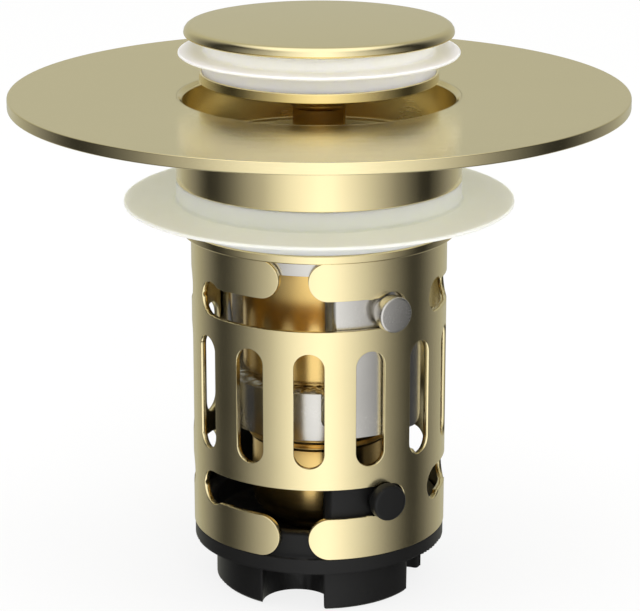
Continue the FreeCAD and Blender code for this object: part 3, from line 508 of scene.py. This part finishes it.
# %% [markdown]
# ## Pieces cut from tube
#
# The basket, the bracket and the end cap start round but are then sawn, slotted and drilled, which
# a spin can't show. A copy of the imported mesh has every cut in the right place, but its round walls
# are made of flat strips. So the copy is sliced into narrow sectors, and every point near a known
# radius is moved on to it. The slices start at an odd angle, so that they are unlikely to run along
# the mesh's own edges. Each corner of a wall face then gets the normal of a true cylinder, which is
# what makes its reflections run smoothly.

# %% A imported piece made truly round
SECTORS = 72
FIRST_CUT = 0.37
PACKED_WELD = 1e-6
ON_CUT = 1e-8
CUT_SHARP = math.radians(60)
NEAR_WALL = 0.16 * MM
ON_WALL = 0.001 * MM
SAME_POINT = 0.01 * MM
UPRIGHT = 0.3


def trued(name, radii):
    """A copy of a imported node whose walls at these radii, in millimetres, are truly round."""
    bm = bmesh.new()
    bm.from_mesh(nodes[name].data)
    bmesh.ops.remove_doubles(bm, verts=bm.verts, dist=PACKED_WELD)
    for sector in range(SECTORS):
        angle = math.pi * (sector + FIRST_CUT) / SECTORS
        bmesh.ops.bisect_plane(bm, geom=bm.verts[:] + bm.edges[:] + bm.faces[:], dist=ON_CUT,
                               plane_co=(0, 0, 0), plane_no=(math.cos(angle), math.sin(angle), 0))
    bmesh.ops.remove_doubles(bm, verts=bm.verts, dist=SAME_POINT)
    for vert in bm.verts:
        reach = vert.co.xy.length
        for radius in radii:
            if abs(reach - radius * MM) < NEAR_WALL:
                vert.co.xy *= radius * MM / reach
    bmesh.ops.dissolve_degenerate(bm, dist=SAME_POINT, edges=bm.edges)
    bmesh.ops.triangulate(bm, faces=bm.faces, quad_method="BEAUTY", ngon_method="BEAUTY")
    mesh = bpy.data.meshes.new(name)
    bm.to_mesh(mesh)
    bm.free()
    mesh.shade_smooth()
    mesh.set_sharp_from_angle(angle=CUT_SHARP)
    normals = [Vector(corner.vector) for corner in mesh.corner_normals]
    for face in mesh.polygons:
        points = [mesh.vertices[i].co for i in face.vertices]
        on_wall = any(all(abs(p.xy.length - r * MM) < ON_WALL for p in points) for r in radii)
        if on_wall and abs(face.normal.z) < UPRIGHT:
            side = 1 if face.normal.dot(Vector((face.center.x, face.center.y, 0))) > 0 else -1
            for corner in face.loop_indices:
                point = mesh.vertices[mesh.loops[corner].vertex_index].co
                normals[corner] = Vector((point.x, point.y, 0)).normalized() * side
    mesh.normals_split_custom_set(normals)
    mesh.materials.append(finishes[slot_of[name]])
    piece = bpy.data.objects.new(name + "_trued", mesh)
    bpy.context.scene.collection.objects.link(piece)
    print(piece.name, len(mesh.polygons), "faces")
    stand_in_for(piece, name)


trued("strainer_basket", (15.95, 16.75))
trued("bracket", (7.03, 12.5, 13.35, 15.8))
trued("end_cap", (13.8, 15.8, 16.65))

# %% [markdown]
# ## Headed pins
#
# Each pin is a turned piece too, but it points outwards. It is spun upright about the Z axis and
# then its mesh is turned and moved, so that the object itself stays at the origin.

# %% Headed pins
PIN_SECTION = [
    (0, 0, 0), (1.7, 0, 0.1), (1.7, 3.62, 0), (2.35, 3.62, 0.1), (2.35, 5.12, 0.3), (0, 5.12, 0)]
PIN_ROOT = 13.38 * MM
BRACKET_AZIMUTH = 31.9
END_CAP_AZIMUTH = 29.9


def pin_pair(name, azimuth):
    low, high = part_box(name)
    level = (low.z + high.z) / 2
    pair = spun(name, PIN_SECTION)
    second = pair.data.copy()
    for mesh, turn in ((pair.data, azimuth), (second, azimuth + 180)):
        outwards = Matrix.Rotation(math.radians(turn - 90), 4, "Z")
        lying = Matrix.Rotation(math.radians(90), 4, "Y")
        away = Matrix.Translation(Vector((PIN_ROOT, 0, 0)))
        mesh.transform(Matrix.Translation(Vector((0, 0, level))) @ outwards @ away @ lying)
    both = bmesh.new()
    both.from_mesh(pair.data)
    both.from_mesh(second)
    both.to_mesh(pair.data)
    both.free()
    stand_in_for(pair, name)


pin_pair("bracket_pins", BRACKET_AZIMUTH)
pin_pair("end_cap_pins", END_CAP_AZIMUTH)

# %% [markdown]
# ## The press spring
#
# The spring stands between the barrel and the latch, so it gets shorter as the plug goes down. A
# copy of the imported node takes its place, with its doubled points welded, and keeps the node's
# shape. A full press takes 4.9 of its 26.2 mm, which leaves it 81 per cent of its length.

# %% Press spring
coil = bmesh.new()
coil.from_mesh(nodes["core_spring"].data)
bmesh.ops.remove_doubles(coil, verts=coil.verts, dist=PACKED_WELD)
spring = stand_in_for(shown("core_spring_coil", coil, finishes[slot_of["core_spring"]]), "core_spring")
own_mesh(spring)
print("spring faces:", len(spring.data.polygons))

# %% [markdown]
# ## Studio
#
# The floor and the background are white. Light Path tells a material which kind of ray asks: camera
# rays see white, with a faint shadow left on the floor, and the light that falls on soft surfaces
# stays at a plain level. Polished metal shows what stands round it, so it gets a surrounding of its
# own. It is a large sphere that only mirror rays see, bright in front like a soft box, dark at both
# sides like black card, plain behind and bright overhead. The floor is clear to mirror rays, so
# upright metal shows the sphere below the horizon as well.

# %% Floor and world
FLOOR_HALF = 3.0
FLOOR_GLOW = 0.82
PLAIN_LIGHT = 1.2

floor_mesh = bpy.data.meshes.new("floor")
sheet = bmesh.new()
bmesh.ops.create_grid(sheet, x_segments=1, y_segments=1, size=FLOOR_HALF)
sheet.to_mesh(floor_mesh)
sheet.free()
floor = bpy.data.objects.new("floor", floor_mesh)
bpy.context.scene.collection.objects.link(floor)

floor_paint = Finish("floor_paint", {"Base Color": (0.60, 0.60, 0.59, 1), "Roughness": 0.9})
ray = floor_paint.tree.nodes.new("ShaderNodeLightPath")
camera_ray = Wire(floor_paint, ray.outputs["Is Camera Ray"])
mirror_ray = Wire(floor_paint, ray.outputs["Is Glossy Ray"])
glow = floor_paint.node("Emission", {}, {"Color": (1, 1, 1, 1)})
clear = floor_paint.node("BsdfTransparent", {}, {})
shaded = Wire(floor_paint, floor_paint.shader.outputs[0])
whitened = floor_paint.node("MixShader", {}, {0: camera_ray * FLOOR_GLOW, 1: shaded, 2: glow})
seen = floor_paint.node("MixShader", {}, {0: mirror_ray, 1: whitened, 2: clear})
floor_paint.feed(floor_paint.tree.nodes["Material Output"].inputs[0], seen)
floor_mesh.materials.append(floor_paint.material)

world = bpy.data.worlds.new("studio")
bpy.context.scene.world = world
world.use_nodes = True
tree = world.node_tree
plain = tree.nodes["Background"]
plain.inputs["Color"].default_value = (1, 1, 1, 1)
plain.inputs["Strength"].default_value = PLAIN_LIGHT
white = tree.nodes.new("ShaderNodeBackground")
choice = tree.nodes.new("ShaderNodeMixShader")
path = tree.nodes.new("ShaderNodeLightPath")
direct = tree.nodes.new("ShaderNodeMath")
direct.operation = "MAXIMUM"
tree.links.new(path.outputs["Is Camera Ray"], direct.inputs[0])
tree.links.new(path.outputs["Is Transmission Ray"], direct.inputs[1])
tree.links.new(direct.outputs[0], choice.inputs[0])
tree.links.new(plain.outputs[0], choice.inputs[1])
tree.links.new(white.outputs[0], choice.inputs[2])
tree.links.new(choice.outputs[0], tree.nodes["World Output"].inputs[0])
bpy.context.scene.view_settings.view_transform = "Standard"
print("floor and world ready")

# %% [markdown]
# ## What the metal mirrors
#
# The brightness round the sphere is a list of azimuths, in degrees from the front, and levels. The
# camera looks down, so upright walls mirror what lies in front and a little below the horizon, with
# the dark bands at both sides that give them their shape. The plate and the cap lie flat and mirror
# the back, which is a plain card of a slightly warm white. High above hangs a bright sheet, which
# lights the throat and the ledges inside the basket. A ramp holds values from 0 to 1 only, so the
# levels are divided by the highest one and multiplied again afterwards.

# %% Mirror tent
LEVELS = [
    (-180, 0.53), (-150, 0.53), (-138, 0.43), (-120, 0.25), (-106, 0.09), (-98, 0.035), (-88, 0.05),
    (-78, 0.11), (-70, 0.19), (-55, 0.40), (-45, 0.53), (-35, 0.78), (-24, 1.03), (-12, 1.22), (0, 1.36),
    (10, 1.33), (22, 1.08), (41, 0.70), (64, 0.28), (78, 0.12), (88, 0.04), (97, 0.03), (110, 0.13),
    (124, 0.28), (145, 0.47), (180, 0.53)]
BACK_FROM = 130
BACK_BLUE = 0.86
TENT_RADIUS = 1.5
SHEET_FROM = 1.15
SHEET_FULL = 1.4

tent_mesh = bpy.data.meshes.new("mirror_tent")
ball = bmesh.new()
bmesh.ops.create_uvsphere(ball, u_segments=48, v_segments=24, radius=TENT_RADIUS)
bmesh.ops.reverse_faces(ball, faces=ball.faces)
ball.to_mesh(tent_mesh)
ball.free()
tent = bpy.data.objects.new("mirror_tent", tent_mesh)
bpy.context.scene.collection.objects.link(tent)
tent.visible_camera = False
tent.visible_diffuse = False
tent.visible_transmission = False
tent.visible_volume_scatter = False
tent.visible_shadow = False

brightest = max(level for _, level in LEVELS)
stops = []
for degrees, level in LEVELS:
    share = level / brightest
    blue = share * (BACK_BLUE if abs(degrees) > BACK_FROM else 1)
    stops.append(((degrees + 180) / 360, (share, share, blue, 1)))
tent_paint = Finish("tent_paint", {})
place = tent_paint.node("TexCoord", {}, {}, output=3)
axes = tent_paint.node("SeparateXYZ", {}, {0: place})
across, back, height = [Wire(tent_paint, out) for out in axes.socket.node.outputs]
azimuth = tent_paint.node("Math", {"operation": "ARCTAN2"}, {0: across, 1: back * -1.0})
cards = tent_paint.node("ValToRGB", {"stops": stops}, {0: azimuth * (0.5 / math.pi) + 0.5})
above = tent_paint.node("MapRange", {}, {"Value": height, "From Min": SHEET_FROM, "From Max": SHEET_FULL})
mirrored = tent_paint.blend(above, cards, (1, 1, 1, 1))
light = tent_paint.node("Emission", {}, {"Color": mirrored, "Strength": brightest})
tent_paint.feed(tent_paint.tree.nodes["Material Output"].inputs[0], light)
tent_paint.material.cycles.emission_sampling = "NONE"
tent_mesh.materials.append(tent_paint.material)
print("tent levels:", len(LEVELS))

# %% [markdown]
# ## Lamps
#
# The white world lights the soft pieces evenly from all sides, which alone would look flat. Four
# soft boxes make their tops and fronts brighter and leave a faint shadow on the floor: a large one
# overhead, and smaller ones in front and at both sides. No mirror ray meets them, because the sphere
# already gives the metal all that it shows.

# %% Lamps
LIT_POINT = Vector((0, 0, 0.05))


def lamp(name, azimuth, height, distance, width, tall, watts):
    """A soft box at an azimuth from the front. It lights soft surfaces, and no mirror shows it."""
    data = bpy.data.lights.new(name, "AREA")
    data.shape = "RECTANGLE"
    data.size = width
    data.size_y = tall
    data.energy = watts
    box = bpy.data.objects.new(name, data)
    bpy.context.scene.collection.objects.link(box)
    angle = math.radians(azimuth)
    box.location = Vector((math.sin(angle) * distance, -math.cos(angle) * distance, height))
    box.rotation_euler = (box.location - LIT_POINT).to_track_quat("Z", "Y").to_euler()
    box.visible_glossy = False


lamp("overhead", 0, 1.1, 0.15, 0.9, 0.9, 6.5)
lamp("front_box", 12, 0.45, 0.9, 0.35, 0.6, 3.6)
lamp("left_box", -72, 0.3, 0.8, 0.4, 0.5, 1.6)
lamp("right_box", 72, 0.3, 0.8, 0.4, 0.5, 1.6)
print("lamps ready")

# %% [markdown]
# ## The end
#
# The finer pieces must fill the same box as the imported model. The last cell brings the scene up to
# date.

# %% Bring the scene up to date
bpy.context.view_layer.update()
